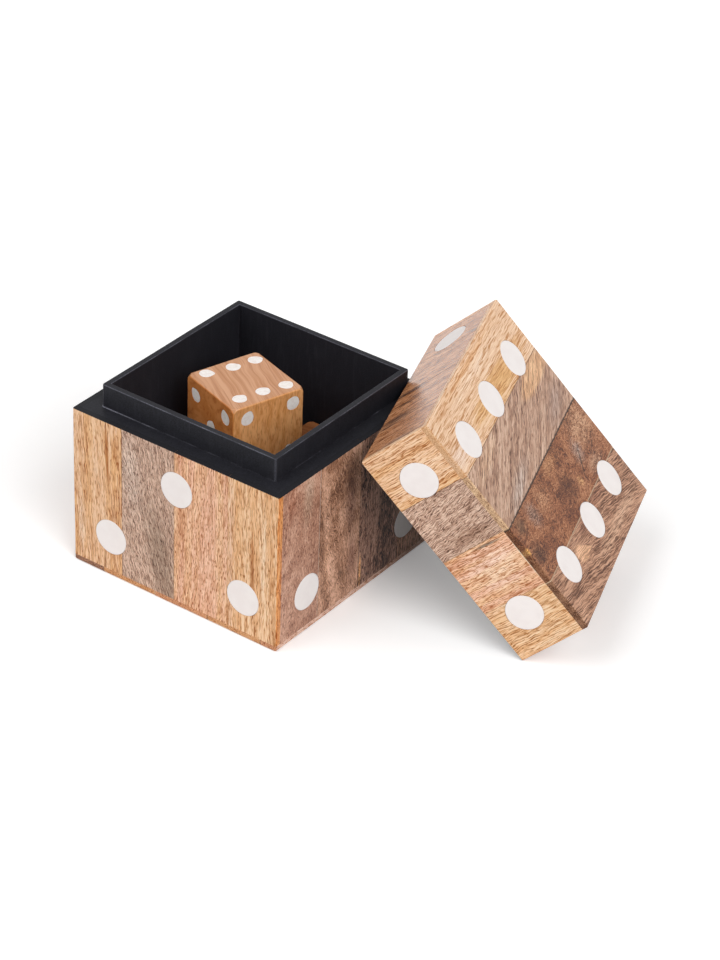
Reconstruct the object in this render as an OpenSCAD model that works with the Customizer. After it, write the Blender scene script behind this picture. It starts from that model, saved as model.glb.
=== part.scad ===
// Wooden dice box: a big die sawn into a base and a lift-off lid, with five dice inside.
// Millimetres. The origin is the middle of the base's underside, the front (the five) faces -Y,
// and the lid leans on the right-hand side of the base as it does on the table.

/* [Box] */
// Width of the box across its boards
box_w = 120; // [112:1:130]
// Height of the base, from the table to the saw cut
base_h = 83.5; // [80:0.5:90]
// Height of the lid, from its rim to its top
lid_h = 38.5; // [34:0.5:44]
// Radius on the sanded outer edges
edge_r = 0.8; // [0.4:0.1:1.5]

/* [Facing boards] */
// Thickness of the facing boards
board_t = 3; // [2.5:0.25:3.5]
// Width of one board, before the outer ones are trimmed
board_w = 31; // [29:0.5:33]
// Glue line between neighbouring boards
glue_line = 0.1; // [0.05:0.05:0.2]

/* [Core] */
// Thickness of the base's side walls, behind the boards
base_wall_t = 6.75; // [6.5:0.25:7]
// Thickness of the base's floor, above the boards
floor_t = 6.6; // [5:0.2:8]
// Thickness of the lid's side walls, behind the boards
lid_wall_t = 6; // [5.5:0.25:6]
// Thickness of the lid's inner panel
lid_panel_t = 6; // [5:0.5:7]
// Size of the eased edge round the lid's mouth
mouth_ease = 1.5; // [0.5:0.25:2]

/* [Collar] */
// Thickness of the liner boards that make the collar
collar_t = 3; // [2.5:0.25:3.25]
// Height of the collar above the saw cut
collar_h = 12.1; // [8:0.1:16]

/* [Dots on the box] */
// Diameter of one inlaid dot
dot_d = 18.2; // [14:0.2:20]
// Depth of the inlay
dot_depth = 2; // [1:0.25:2.25]
// Gap round a dot in its recess
dot_fit = 0.05; // [0.02:0.01:0.1]

/* [Dice] */
// Edge length of one die
die_w = 39.1; // [36:0.1:39.5]
// Radius along a die's edges
die_edge_r = 0.9; // [0.5:0.1:3]
// Diameter of the ball that trims a die's corners
die_ball_d = 64.8; // [62:0.2:65]
// Diameter of one dot on a die
pip_d = 7.4; // [5:0.2:8]
// Depth of a dot's recess
pip_depth = 1; // [0.5:0.1:1.5]
// Distance of the outer dots from the middle of a face
pip_pitch = 12.6; // [11:0.1:13]
// Gap kept under and between resting pieces
rest_gap = 0.3; // [0.2:0.05:0.4]

/* [Leaning lid] */
// Tilt of the lid from lying flat, degrees
lean = 48.25; // [48:0.05:48.5]
// Turn of the leaning lid about the vertical, degrees
lean_turn = 19.55; // [19.4:0.05:19.7]
// Middle of the leaning lid's rim, to the right of the origin
lean_x = 93.45; // [93.4:0.05:95]
// Middle of the leaning lid's rim, behind the origin
lean_y = 48.95; // [48.5:0.05:49.5]

/* [Hidden] */
$fn = 64;

box_h = base_h + lid_h;
core_w = box_w - 2 * board_t;              // outside of the core, under the boards
collar_w = core_w - 2 * base_wall_t;       // outside of the collar
floor_z = board_t + floor_t;               // top of the floor, where the dice lie
collar_top = base_h + collar_h;
collar_edge_r = edge_r + 0.2;
lid_mouth_w = core_w - 2 * lid_wall_t;
lid_mouth_h = lid_h - board_t - lid_panel_t;
// how far the leaning rim's lower edge is below its middle
lean_z = box_w / 2 * sin(lean);
over = 1;                                  // how far a cutter runs past the face that it cuts
pip_sink = 0.15;                           // how far a die's dots lie below its faces

// The sides, as the turn that brings the front (-Y) round to each
FRONT = 0;
RIGHT = 90;
BACK = 180;
LEFT = 270;

// How far each face's seams sit off the middle, since every panel is trimmed by eye
front_seam = 0.3;
right_seam = 1.8;
side_seam = 0;
top_seam = 1;
bottom_seam = -11;

// The dots, as [across, up] on a side seen from outside, and [x, y] on the top and bottom.
// Opposite faces add up to seven, and the dots wander a little from a true grid.
front_dots = [[-37.5, 21.5], [40.5, 21.5], [1.5, 63.8], [-39.5, 101.3], [39.5, 100.6]];
right_dots = [[-37.5, 21.5], [39.5, 21.5], [-39, 101], [39, 100.5]];
back_dots = [[38.5, 21.5], [-39, 101]];
left_dots = [[38.5, 21.5], [0.5, 62.5], [-41.3, 99.6]];
top_dots = [[-37.5, 37.5], [-37.5, -1.2], [-38, -38.7], [37.5, 38.7], [38.7, 2.5], [37.2, -38.4]];
bottom_dots = [[0, 0]];

// Where the dice lie, as [x, y, turn]
die_spots = [[-24, -22, 6], [21.5, -24, -8], [-25.5, 21.5, -3], [16.95, 26.6, 0]];
top_die_spot = [-8.9, 3.2, -18.1];
// Each lower die shows another number on top: the turns about X and Y that bring it up
die_rolls = [[90, 0], [0, 90], [0, 180], [0, -90]];

ORANGE = "#dcaa78";
GREY_BROWN = "#a08269";
PINK = "#d6a07a";
BROWN = "#9c7558";
DARK_BROWN = "#7d553e";
BLACK = "#3a393c";
WHITE = "#f0e8e0";
DIE_WOOD = "#a06a40";

// A rectangle with round corners, from its middle
module round_rect(x, y, r) {
    square([x - 2 * r, y], center = true);
    square([x, y - 2 * r], center = true);
    for (sx = [-1, 1], sy = [-1, 1])
        translate([sx * (x / 2 - r), sy * (y / 2 - r)]) circle(r);
}

// A block from its middle, with every edge rounded
module round_block(x, y, z, r) {
    intersection() {
        linear_extrude(z + 2 * over, center = true) round_rect(x, y, r);
        rotate([90, 0, 0]) linear_extrude(y + 2 * over, center = true) round_rect(x, z, r);
        rotate([90, 0, 90]) linear_extrude(x + 2 * over, center = true) round_rect(y, z, r);
    }
}

// The outside of the whole closed box, from which every board takes its outer edge
module box_outside() {
    translate([0, 0, box_h / 2]) round_block(box_w, box_w, box_h, edge_r);
}

// A block from x0 to x1, y0 to y1 and z0 to z1
module span(x0, x1, y0, y1, z0, z1) {
    translate([x0, y0, z0]) cube([x1 - x0, y1 - y0, z1 - z0]);
}

// The left end and right end of board i in a panel of width w, with its seams off the middle by shift.
// A panel has as many boards as reach its ends.
function board_ends(i, w, shift) =
    let (inner = [for (k = [-2:2]) if (abs(k * board_w + shift) < w / 2) k * board_w + shift])
    let (seams = concat([-w / 2 - glue_line], inner, [w / 2 + glue_line]))
    [max(-w / 2, seams[i - 1] + glue_line / 2), min(w / 2, seams[i] - glue_line / 2)];

// Recesses for the dots of one side, cut in from its face at y = -box_w / 2
module side_recesses(dots) {
    for (p = dots)
        translate([p[0], -box_w / 2 + dot_depth, p[1]]) rotate([90, 0, 0])
            cylinder(d = dot_d, h = dot_depth + over);
}

// Board i of the side that is turned from the front by side, from z0 to z1.
// Front and back panels reach the corners; the left and right ones stand between them.
module side_board(i, side, z0, z1, shift, dots) {
    w = side == FRONT || side == BACK ? box_w : core_w;
    ends = board_ends(i, w, shift);
    rotate(side) difference() {
        intersection() {
            span(ends[0], ends[1], -box_w / 2, -core_w / 2, z0, z1);
            box_outside();
        }
        side_recesses(dots);
    }
}
module base_board(i, side, shift, dots) { side_board(i, side, board_t, base_h, shift, dots); }
module lid_board(i, side, shift, dots) { side_board(i, side, base_h, box_h - board_t, shift, dots); }

// One side's dots, flush with its face, between the heights z0 and z1
module side_dots(side, dots, z0, z1) {
    rotate(side) for (p = dots) if (p[1] > z0 && p[1] < z1)
        translate([p[0], -box_w / 2 + dot_depth, p[1]]) rotate([90, 0, 0])
            cylinder(d = dot_d - 2 * dot_fit, h = dot_depth);
}

// A core wall on the side that is turned from the front by side. Its outer face is w / 2 out.
// Front and back walls run right across; the left and right ones stand between them.
module core_wall(side, w, t, z0, z1) {
    half = side == FRONT || side == BACK ? w / 2 : w / 2 - t;
    rotate(side) span(-half, half, -w / 2, -w / 2 + t, z0, z1);
}

// A collar board, which stands on the floor and rises past the saw cut. Its outer edges come from a
// block with round edges, whose lower half would lie below the table.
module collar(side) {
    color(BLACK) intersection() {
        core_wall(side, collar_w, collar_t, floor_z, collar_top);
        round_block(collar_w, collar_w, 2 * collar_top, collar_edge_r);
    }
}

// The space that eases the inner edge of the lid's mouth, by 45 degrees, in the closed box
module mouth_space() {
    half = lid_mouth_w / 2;
    low = base_h - over;
    high = base_h + mouth_ease + over;
    profile = [[-half - mouth_ease - over, low], [half + mouth_ease + over, low],
        [half - over, high], [-half + over, high]];
    intersection() {
        rotate([90, 0, 0]) linear_extrude(box_w, center = true) polygon(profile);
        rotate([90, 0, 90]) linear_extrude(box_w, center = true) polygon(profile);
    }
}
module lid_wall(side) {
    color(BLACK) difference() {
        core_wall(side, core_w, lid_wall_t, base_h, base_h + lid_mouth_h);
        mouth_space();
    }
}

// Takes a lid piece from its place on the closed box to where the lid leans
module leaning() {
    translate([lean_x, lean_y, lean_z]) rotate([0, lean, lean_turn]) translate([0, 0, -base_h]) children();
}

// The dots of one die, as [across, up] on each face, for the numbers 1 to 6
function pips(n) =
    let (p = pip_pitch)
    n == 1 ? [[0, 0]] :
    n == 2 ? [[-p, p], [p, -p]] :
    n == 3 ? concat(pips(1), pips(2)) :
    n == 4 ? concat(pips(2), [[p, p], [-p, -p]]) :
    n == 5 ? concat(pips(1), pips(4)) :
    concat(pips(4), [[p, 0], [-p, 0]]);

// The turn that brings the -Y face round to each number's face
function face_turn(n) =
    n == 6 ? [-90, 0, 0] :
    n == 1 ? [90, 0, 0] :
    [0, 0, n == 5 ? 0 : n == 4 ? 90 : n == 2 ? 180 : 270];

// Discs at every dot of a die, of diameter d, from the depth up to top outside the face
module die_discs(d, top) {
    for (n = [1:6])
        rotate(face_turn(n)) for (p = pips(n))
            translate([p[0], -die_w / 2 + pip_depth, p[1]]) rotate([90, 0, 0])
                cylinder(d = d, h = pip_depth + top, $fn = 40);
}

// A die from its middle: a cube with round edges, its corners trimmed by a ball, dots drilled in
module die_block() {
    difference() {
        intersection() {
            round_block(die_w, die_w, die_w, die_edge_r);
            sphere(d = die_ball_d);
        }
        die_discs(pip_d, over);
    }
}
module die_fill() { die_discs(pip_d - 2 * dot_fit, -pip_sink); }

// Puts a die where it lies: lower ones on the floor, the last one on top of them
module lower_spot(i) {
    translate([die_spots[i][0], die_spots[i][1], floor_z + rest_gap + die_w / 2])
        rotate(die_spots[i][2]) rotate([die_rolls[i][0], die_rolls[i][1], 0]) children();
}
module upper_spot() {
    translate([top_die_spot[0], top_die_spot[1], floor_z + 2 * rest_gap + 1.5 * die_w])
        rotate(top_die_spot[2]) children();
}

// The nodes of the base

module base_floor() {
    color(BLACK) span(-core_w / 2, core_w / 2, -core_w / 2, core_w / 2, board_t, floor_z);
}
module base_wall(side) { color(BLACK) core_wall(side, core_w, base_wall_t, floor_z, base_h); }

// The underside's boards run front to back
module bottom_boards() {
    color(BROWN) difference() {
        intersection() {
            for (i = [1:5]) {
                ends = board_ends(i, box_w, bottom_seam);
                span(ends[0], ends[1], -box_w / 2, box_w / 2, 0, board_t);
            }
            box_outside();
        }
        for (p = bottom_dots) translate([p[0], p[1], -over]) cylinder(d = dot_d, h = dot_depth + over);
    }
}
module base_dots() {
    color(WHITE) {
        side_dots(FRONT, front_dots, 0, base_h);
        side_dots(RIGHT, right_dots, 0, base_h);
        side_dots(BACK, back_dots, 0, base_h);
        side_dots(LEFT, left_dots, 0, base_h);
        for (p = bottom_dots) translate([p[0], p[1], 0]) cylinder(d = dot_d - 2 * dot_fit, h = dot_depth);
    }
}
module front_board(i) { base_board(i, FRONT, front_seam, front_dots); }
module right_board(i) { base_board(i, RIGHT, right_seam, right_dots); }
module left_board(i) { base_board(i, LEFT, side_seam, left_dots); }
module back_boards() { color(BROWN) for (i = [1:4]) base_board(i, BACK, side_seam, back_dots); }

// The nodes of the lid, which lean

module lid_panel() {
    color(BLACK) leaning() span(-core_w / 2, core_w / 2, -core_w / 2, core_w / 2,
        base_h + lid_mouth_h, box_h - board_t);
}

// The top's boards run front to back, like the underside's
module lid_top_board(i) {
    ends = board_ends(i, box_w, top_seam);
    leaning() difference() {
        intersection() {
            span(ends[0], ends[1], -box_w / 2, box_w / 2, box_h - board_t, box_h);
            box_outside();
        }
        for (p = top_dots) translate([p[0], p[1], box_h - dot_depth])
            cylinder(d = dot_d, h = dot_depth + over);
    }
}
module lid_front_board(i) { leaning() lid_board(i, FRONT, front_seam, front_dots); }
module lid_right_board(i) { leaning() lid_board(i, RIGHT, right_seam, right_dots); }
module lid_left_board(i) { leaning() lid_board(i, LEFT, side_seam, left_dots); }
module lid_back_boards() {
    color(BROWN) leaning() for (i = [1:4]) lid_board(i, BACK, side_seam, back_dots);
}
module lid_dots() {
    color(WHITE) leaning() {
        side_dots(FRONT, front_dots, base_h, box_h);
        side_dots(RIGHT, right_dots, base_h, box_h);
        side_dots(BACK, back_dots, base_h, box_h);
        side_dots(LEFT, left_dots, base_h, box_h);
        for (p = top_dots) translate([p[0], p[1], box_h - dot_depth])
            cylinder(d = dot_d - 2 * dot_fit, h = dot_depth);
    }
}

// The dice

module lower_die(i) { color(DIE_WOOD) lower_spot(i) die_block(); }
module lower_dots(i) { color(WHITE) lower_spot(i) die_fill(); }
module top_die() { color(DIE_WOOD) upper_spot() die_block(); }
module top_die_dots() { color(WHITE) upper_spot() die_fill(); }

base_floor();
base_wall(FRONT);  // base_wall_front
base_wall(RIGHT);  // base_wall_right
base_wall(BACK);  // base_wall_back
base_wall(LEFT);  // base_wall_left
collar(FRONT);  // collar_front
collar(RIGHT);  // collar_right
collar(BACK);  // collar_back
collar(LEFT);  // collar_left
color(ORANGE) front_board(1);  // front_board_1
color(GREY_BROWN) front_board(2);  // front_board_2
color(PINK) front_board(3);  // front_board_3
color(ORANGE) front_board(4);  // front_board_4
color(BROWN) right_board(1);  // right_board_1
color(BROWN) right_board(2);  // right_board_2
color(DARK_BROWN) right_board(3);  // right_board_3
color(BROWN) right_board(4);  // right_board_4
color(PINK) left_board(1);  // left_board_1
color(BROWN) left_board(2);  // left_board_2
color(ORANGE) left_board(3);  // left_board_3
color(BROWN) left_board(4);  // left_board_4
back_boards();
bottom_boards();
base_dots();
lid_panel();
leaning() lid_wall(FRONT);  // lid_wall_front
leaning() lid_wall(RIGHT);  // lid_wall_right
leaning() lid_wall(BACK);  // lid_wall_back
leaning() lid_wall(LEFT);  // lid_wall_left
color(ORANGE) lid_top_board(1);  // lid_top_board_1
color(GREY_BROWN) lid_top_board(2);  // lid_top_board_2
color(DARK_BROWN) lid_top_board(3);  // lid_top_board_3
color(BROWN) lid_top_board(4);  // lid_top_board_4
color(ORANGE) lid_front_board(1);  // lid_front_board_1
color(GREY_BROWN) lid_front_board(2);  // lid_front_board_2
color(PINK) lid_front_board(3);  // lid_front_board_3
color(ORANGE) lid_front_board(4);  // lid_front_board_4
color(BROWN) lid_right_board(1);  // lid_right_board_1
color(BROWN) lid_right_board(2);  // lid_right_board_2
color(DARK_BROWN) lid_right_board(3);  // lid_right_board_3
color(BROWN) lid_right_board(4);  // lid_right_board_4
color(PINK) lid_left_board(1);  // lid_left_board_1
color(BROWN) lid_left_board(2);  // lid_left_board_2
color(ORANGE) lid_left_board(3);  // lid_left_board_3
color(BROWN) lid_left_board(4);  // lid_left_board_4
lid_back_boards();
lid_dots();
lower_die(0);  // die_1
lower_dots(0);  // die_1_dots
lower_die(1);  // die_2
lower_dots(1);  // die_2_dots
lower_die(2);  // die_3
lower_dots(2);  // die_3_dots
lower_die(3);  // die_4
lower_dots(3);  // die_4_dots
top_die();
top_die_dots();
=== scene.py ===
"""The looks of a wooden dice box: a big die sawn into a base and a lift-off lid, with five dice inside.

Its boards, dots, collar and dice are computed here as surfaces, in the millimetres of the closed box,
and the lid's pieces are then leaned against the base. Every wooden piece keeps its place in the closed
box as an attribute, so that the grain runs on from the base into the lid.
"""
import math
from functools import partial

import bpy
import numpy as np
from mathutils import Euler, Matrix, Vector


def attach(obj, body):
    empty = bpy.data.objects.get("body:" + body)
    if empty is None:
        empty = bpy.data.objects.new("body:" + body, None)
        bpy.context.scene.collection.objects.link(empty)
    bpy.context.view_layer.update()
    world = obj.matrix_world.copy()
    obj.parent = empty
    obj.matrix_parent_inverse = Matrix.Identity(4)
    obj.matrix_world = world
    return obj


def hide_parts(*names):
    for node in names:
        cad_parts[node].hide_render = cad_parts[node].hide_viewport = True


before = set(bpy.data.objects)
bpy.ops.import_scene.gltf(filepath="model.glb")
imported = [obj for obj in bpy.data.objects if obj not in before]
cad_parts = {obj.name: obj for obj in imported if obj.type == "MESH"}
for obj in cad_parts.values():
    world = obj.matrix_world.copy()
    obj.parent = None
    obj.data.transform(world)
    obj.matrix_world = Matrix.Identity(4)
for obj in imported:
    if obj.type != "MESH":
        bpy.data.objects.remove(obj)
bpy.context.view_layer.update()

# Shapes are worked out in millimetres, and Blender takes metres
MM = 0.001
# A surface turns smoothly where two of its faces meet at less than this, in degrees
SMOOTH_UP_TO = 40

# The box, in millimetres: the same values as the part's source
BOX_W, BASE_H, LID_H = 120.0, 83.5, 38.5
BOX_H = BASE_H + LID_H
BOARD_T, BOARD_W, GLUE = 3.0, 31.0, 0.1
CORE_W = BOX_W - 2 * BOARD_T
FLOOR_Z = 9.6
COLLAR_HALF, COLLAR_T, COLLAR_TOP = 50.25, 3.0, 95.6
EDGE_R = 0.8
DOT_R, DOT_DEPTH = 9.1, 2.0
DIE_W, DIE_EDGE, DIE_BALL = 39.1, 0.9, 64.8
PIP_R, PIP_PITCH = 3.7, 12.6
REST_GAP = 0.3

SIDES = {"front": 0, "right": 90, "back": 180, "left": 270}
# How far each face's seams sit off its middle
SHIFTS = {"front": 0.3, "right": 1.8, "back": 0.0, "left": 0.0, "top": 1.0, "bottom": -11.0}
DOTS = {
    "front": [(-37.5, 21.5), (40.5, 21.5), (1.5, 63.8), (-39.5, 101.3), (39.5, 100.6)],
    "right": [(-37.5, 21.5), (39.5, 21.5), (-39, 101), (39, 100.5)],
    "back": [(38.5, 21.5), (-39, 101)],
    "left": [(38.5, 21.5), (0.5, 62.5), (-41.3, 99.6)],
    "top": [(-37.5, 37.5), (-37.5, -1.2), (-38, -38.7), (37.5, 38.7), (38.7, 2.5), (37.2, -38.4)],
    "bottom": [(0, 0)],
}
# Where the dice lie, as (x, y, turn), and the turns about X and Y that bring up a lower die's number
DIE_SPOTS = [(-24, -22, 6), (21.5, -24, -8), (-25.5, 21.5, -3), (16.95, 26.6, 0)]
# The fourth is turned otherwise than in the CAD, as the photograph shows no dot on the corner that is seen
DIE_ROLLS = [(90, 0), (0, 90), (0, 180), (0, 180)]
TOP_DIE_SPOT = (-8.9, 3.2, -18.1)
# How the lid leans: its tilt and its turn in degrees, and where the middle of its mouth lies
LEAN, LEAN_TURN, LEAN_X, LEAN_Y = 48.25, 19.55, 93.45, 48.95


# Placing

def turn(axis, degrees):
    """A turn about an axis, as a matrix."""
    return np.array(Matrix.Rotation(math.radians(degrees), 4, axis))


def move(x, y, z):
    """A move, as a matrix."""
    return np.array(Matrix.Translation((x, y, z)))


def through(matrix, points):
    """Where the matrix takes the points."""
    return points @ matrix[:3, :3].T + matrix[:3, 3]


# At this height of its middle, the tilted mouth's lower edge lies on the table
LEAN_Z = BOX_W / 2 * math.sin(math.radians(LEAN))
LEANING = move(LEAN_X, LEAN_Y, LEAN_Z) @ turn("Z", LEAN_TURN) @ turn("Y", LEAN) @ move(0, 0, -BASE_H)
STANDING = np.eye(4)


# Surfaces

def waves(points, seed, scale, count=5):
    """A slow random wave from -1 to 1 in space: the mean of a few sines, each along its own direction,
    with wavelengths round scale millimetres."""
    rng = np.random.default_rng(seed)
    total = np.zeros(len(points))
    for _ in range(count):
        direction = rng.normal(size=3)
        direction /= np.linalg.norm(direction)
        length = scale * rng.uniform(0.6, 1.6)
        total += np.sin(points @ direction * (2 * math.pi / length) + rng.uniform(0, 2 * math.pi))
    return total / count


def places(low, high, step, near):
    """Places from low to high: at the distances near from both ends, where the edges turn, and about
    step apart between them."""
    ends = np.array([distance for distance in near if distance < (high - low) * 0.4])
    count = max(2, round((high - low) / step)) + 1
    inner = np.linspace(low + ends[-1], high - ends[-1], count)[1:-1]
    return np.concatenate([low + ends, inner, (high - ends)[::-1]])


def block_skin(xs, ys, zs):
    """A block's closed skin. Each of its six faces is a flat surface of two parameters, the places along
    its two axes, and faces share the points along their common edges."""
    ticks = (xs, ys, zs)
    sizes = [len(along) for along in ticks]
    quads = []
    for axis in range(3):
        second, third = (axis + 1) % 3, (axis + 2) % 3
        over, up = np.meshgrid(np.arange(sizes[second]), np.arange(sizes[third]), indexing="ij")
        for end in (0, sizes[axis] - 1):
            index = [None, None, None]
            index[axis], index[second], index[third] = np.full(over.shape, end), over, up
            code = (index[0] * sizes[1] + index[1]) * sizes[2] + index[2]
            quad = np.stack([code[:-1, :-1], code[1:, :-1], code[1:, 1:], code[:-1, 1:]], -1).reshape(-1, 4)
            quads.append(quad if end else quad[:, ::-1])
    codes, faces = np.unique(np.concatenate(quads), return_inverse=True)
    first, rest = np.divmod(codes, sizes[1] * sizes[2])
    second, third = np.divmod(rest, sizes[2])
    return np.stack([xs[first], ys[second], zs[third]], -1), faces.reshape(-1, 4)


def eased(points, low, high, radius):
    """Rounds the edges of a block from low to high: a point further than radius from the block that is
    radius smaller all round is drawn in to that distance. Radius may differ from point to point."""
    radius = np.broadcast_to(radius, len(points))[:, None]
    core = np.clip(points, np.array(low) + radius, np.array(high) - radius)
    away = points - core
    length = np.linalg.norm(away, axis=1, keepdims=True)
    return core + away * np.minimum(1, radius / np.maximum(length, 1e-9))


def ring_skin(profile, loop):
    """A closed ring: each point of a closed profile (out, up) is carried round a closed loop.
    loop(out) gives that point's path round the ring, so the surface is a function of two parameters,
    the place along the profile and the place round the loop."""
    rows = np.stack([np.column_stack([loop(out), np.full(len(loop(out)), up)]) for out, up in profile])
    number = np.arange(rows.shape[0] * rows.shape[1]).reshape(rows.shape[:2])
    below, after = np.roll(number, -1, 0), np.roll(number, -1, 1)
    faces = np.stack([number, after, np.roll(after, -1, 0), below], -1).reshape(-1, 4)
    return rows.reshape(-1, 3), faces


def disc_skin(radii, profile):
    """A round disc about Z: the profile's points (share of the radius, height) are carried round the
    outline, whose radius at each angle is given, so the surface is a function of the place along the
    profile and the angle. The first and last points lie on the axis."""
    count = len(radii)
    angle = np.linspace(0, 2 * math.pi, count, endpoint=False)
    share, height = np.array(profile).T
    x = share[1:-1, None] * radii * np.cos(angle)
    y = share[1:-1, None] * radii * np.sin(angle)
    z = np.broadcast_to(height[1:-1, None], x.shape)
    skin = np.stack([x, y, z], -1).reshape(-1, 3)
    points = np.concatenate([skin, [[0, 0, height[0]], [0, 0, height[-1]]]])
    number = np.arange(x.size).reshape(x.shape)
    after = np.roll(number, -1, 1)
    sides = np.stack([number[:-1], after[:-1], after[1:], number[1:]], -1).reshape(-1, 4).tolist()
    bottom = np.stack([np.full(count, x.size), after[0], number[0]], -1).tolist()
    top = np.stack([np.full(count, x.size + 1), number[-1], after[-1]], -1).tolist()
    return points, sides + bottom + top


def uneven_radii(seed, radius, uneven, count):
    """A hand-drilled dot's outline: the radius at each angle, nearly a circle, with a few slow waves of
    up to uneven millimetres."""
    rng = np.random.default_rng(seed)
    angle = np.linspace(0, 2 * math.pi, count, endpoint=False)
    wave = sum(rng.uniform(-1, 1) * np.sin(folds * angle + rng.uniform(0, 2 * math.pi)) / folds
               for folds in (2, 3, 4))
    return radius + uneven * wave


def side_seed(side):
    """A number of its own for each side, for the random draws."""
    return sum(map(ord, side))


# Making pieces

def mesh_from(points, faces):
    """A mesh of these points and faces."""
    mesh = bpy.data.meshes.new("shape")
    mesh.from_pydata(points.tolist(), [], faces if isinstance(faces, list) else faces.tolist())
    return mesh


def joined(parts):
    """Several shapes, each as (points, faces), as one."""
    points, faces, start = [], [], 0
    for part_points, part_faces in parts:
        points.append(part_points)
        faces += [[i + start for i in face] for face in part_faces]
        start += len(part_points)
    return np.concatenate(points), faces


def cut(mesh, cutter):
    """The mesh with the cutter's shape taken out of it."""
    holders = [bpy.data.objects.new("holder", shape) for shape in (mesh, cutter)]
    for holder in holders:
        bpy.context.scene.collection.objects.link(holder)
    modifier = holders[0].modifiers.new("recess", "BOOLEAN")
    modifier.operation, modifier.solver, modifier.object = "DIFFERENCE", "EXACT", holders[1]
    finished = holders[0].evaluated_get(bpy.context.evaluated_depsgraph_get())
    result = bpy.data.meshes.new_from_object(finished)
    for holder in holders:
        bpy.data.objects.remove(holder)
    return result


def finish_piece(name, mesh, place, body, material, replaced):
    """Keeps each point's place before it was moved, for the grain, moves the piece to its place in
    metres, smooths what is round, and hands it to the frame."""
    points = np.zeros(len(mesh.vertices) * 3)
    mesh.vertices.foreach_get("co", points)
    grain = mesh.attributes.new("wood_mm", "FLOAT_VECTOR", "POINT")
    grain.data.foreach_set("vector", points.astype(np.float32))
    points = through(place, points.reshape(-1, 3)) * MM
    mesh.vertices.foreach_set("co", points.ravel())
    mesh.name = name
    mesh.materials.clear()
    mesh.materials.append(material)
    mesh.shade_smooth()
    mesh.set_sharp_from_angle(angle=math.radians(SMOOTH_UP_TO))
    mesh.update()
    piece = bpy.data.objects.new(name, mesh)
    bpy.context.scene.collection.objects.link(piece)
    flat_faces = piece.modifiers.new("flat_faces", "WEIGHTED_NORMAL")
    flat_faces.keep_sharp = True
    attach(piece, body)
    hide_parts(*replaced)


# Colours and shader nodes

def linear(text):
    """A hex sRGB colour as the linear values that a shader takes."""
    parts = [int(text[i:i + 2], 16) / 255 for i in (1, 3, 5)]
    return [part / 12.92 if part <= 0.04045 else ((part + 0.055) / 1.055) ** 2.4 for part in parts] + [1.0]


def ratio(tone, usual):
    """What the usual colour is multiplied by to become the tone."""
    return [a / b for a, b in zip(linear(tone), linear(usual))]


# Unless a node says otherwise, mixes are of colours, and ranges begin and end softly
USUAL_SETTINGS = {"Mix": {"data_type": "RGBA"}, "MapRange": {"interpolation_type": "SMOOTHSTEP"}}
LINEAR = {"interpolation_type": "LINEAR"}
TINT = {"blend_type": "MULTIPLY"}
TIMES = {"operation": "MULTIPLY"}
PLUS = {"operation": "ADD"}
TIMES_PLUS = {"operation": "MULTIPLY_ADD"}


def add_node(tree, kind, *values, named=(), **settings):
    """Adds one shader node with its settings, and fills its inputs in order, or by name. A value is a
    number, a vector, a hex colour or another node's output, and None leaves that input as it is.
    Gives the node's first output."""
    node = tree.nodes.new("ShaderNode" + kind)
    for key, setting in {**USUAL_SETTINGS.get(kind, {}), **settings}.items():
        setattr(node, key, setting)
    sockets = [socket for socket in node.inputs if socket.enabled]
    by_name = {socket.name: socket for socket in reversed(sockets)}
    filled = list(zip(sockets, values)) + [(by_name[key], value) for key, value in dict(named).items()]
    for socket, value in filled:
        if isinstance(value, bpy.types.NodeSocket):
            tree.links.new(value, socket)
        elif value is not None:
            socket.default_value = linear(value) if isinstance(value, str) else value
    outputs = [socket for socket in node.outputs if socket.enabled]
    return outputs[0] if outputs else None


def new_material(name):
    """An empty material, and what adds nodes to it."""
    material = bpy.data.materials.new(name)
    material.use_nodes = True
    material.node_tree.nodes.clear()
    return material, partial(add_node, material.node_tree)


# Materials

VARNISH = {"Roughness": 0.32, "IOR": 1.5, "Specular IOR Level": 0.2}
# The left panel was rubbed down and varnished once more
GLOSSIER = {"Roughness": 0.2, "IOR": 1.6, "Specular IOR Level": 0.5}
# The axis across each face as it is seen from outside, with its sign, the axis into it, and the one
# along its fibres
GRAIN_AXES = {"front": ("X", 1, "Y", "Z"), "right": ("Y", 1, "X", "Z"), "back": ("X", -1, "Y", "Z"),
              "left": ("Y", -1, "X", "Z"), "top": ("X", 1, "Z", "Y"), "bottom": ("X", 1, "Z", "Y")}


def patch(across, along, half_across, half_along, tone, share=0.9, tilt=0.0, taper=0.0, soft=0.8,
          plain=0.0):
    """A place on a strip where the wood has another tone: an ellipse with its half width and half
    length, tilted anticlockwise, narrower towards its upper end by the taper, soft at its edge. Where it
    is plain, the grain fades in it too."""
    return {"at": (across, along, 0), "size": (half_across, half_along, 1), "tone": tone,
            "share": share, "tilt": math.radians(tilt), "taper": taper, "soft": soft, "plain": plain}


def strip_look(tones, seed, **changes):
    """How one strip was cut and what it looks like: its tones (pores, wood and light streaks), and what
    differs from a usual strip. Widths and lengths are in mm, and the others are strengths."""
    usual = {
        "tones": tones, "seed": seed,
        # How its fibres run: their slope and curve, and how far they stray slowly and quickly
        "slant": 0.0, "bend": 0.0, "wander": 1.6, "ripple": 0.4,
        # The width of its colour bands and of its hairlines, and the length of its hairlines and pores
        "band": 6.0, "hair": 0.38, "length": 7.0, "pore": 3.0,
        # How strong its grain is, and in it the slow bands, the clouds and the grit between the fibres
        "contrast": 1.0, "slow": 0.5, "cloud": 0.0, "grit": 0.0,
        # How dark its pores and its growth lines are
        "pores": 0.6, "lines": 0.3,
        # The tone of its wide streaks and their strength, the tone of its sawn ends, and its patches
        "streak": tones[1], "streaks": 0.0, "ends": tones[0], "patches": ()}
    assert set(changes) <= set(usual)
    return {**usual, **changes}


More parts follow.
